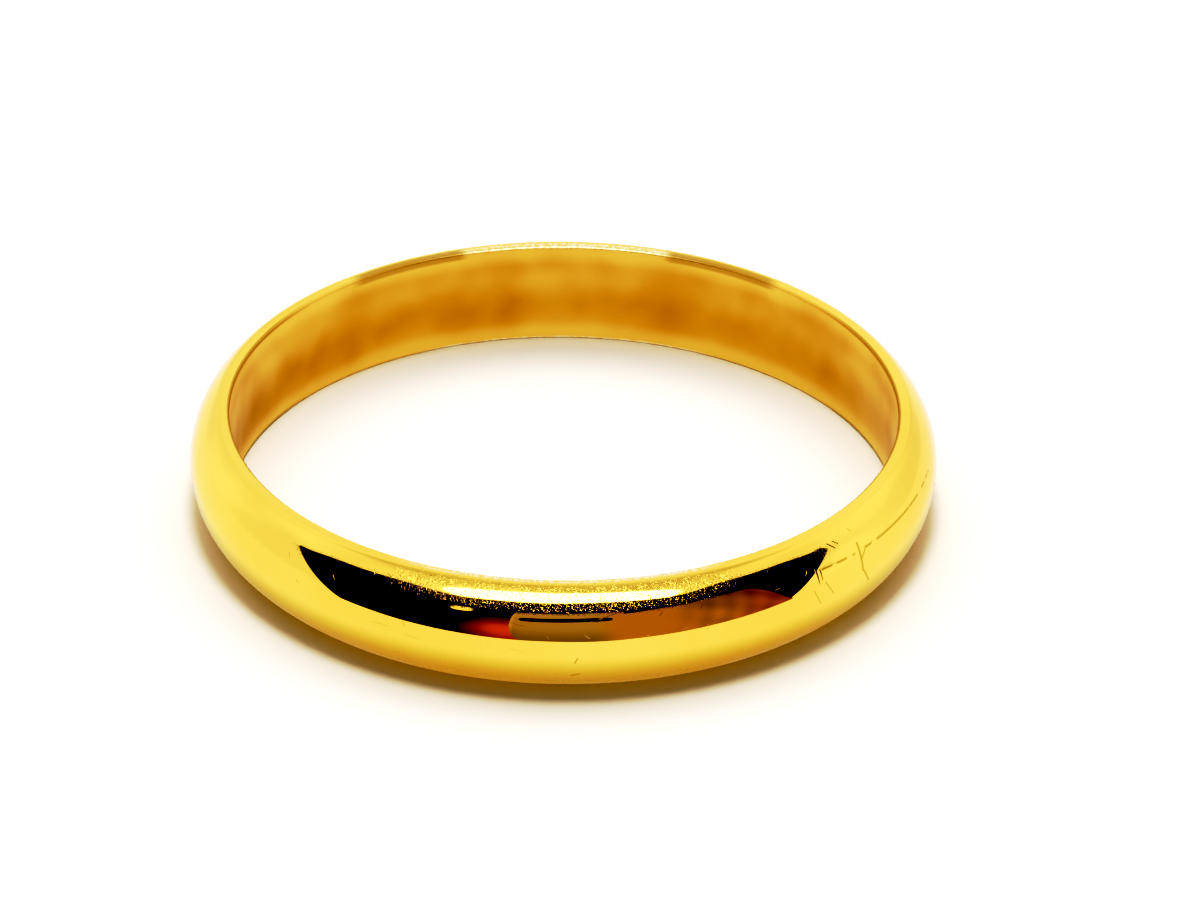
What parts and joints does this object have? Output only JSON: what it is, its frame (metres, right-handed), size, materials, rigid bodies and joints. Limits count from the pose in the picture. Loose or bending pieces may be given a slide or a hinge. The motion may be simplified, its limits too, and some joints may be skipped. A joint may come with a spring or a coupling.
{
  "type": "wedding band",
  "caption": "Plain seamless finger ring of polished yellow gold, with a D-shaped section: flat against the finger and domed outside.",
  "frame": {"origin": "the centre of the finger hole, halfway along the band's width", "axes": "+Z along the finger hole; the band is round about Z and lies on its flat side that faces -Z; X and Y are any two directions across the hole"},
  "size_m": [0.0204, 0.0204, 0.003],
  "materials": {
    "polished_gold": "polished"
  },
  "bodies": {
    "root": {"band": "polished_gold"}
  },
  "joints": []
}
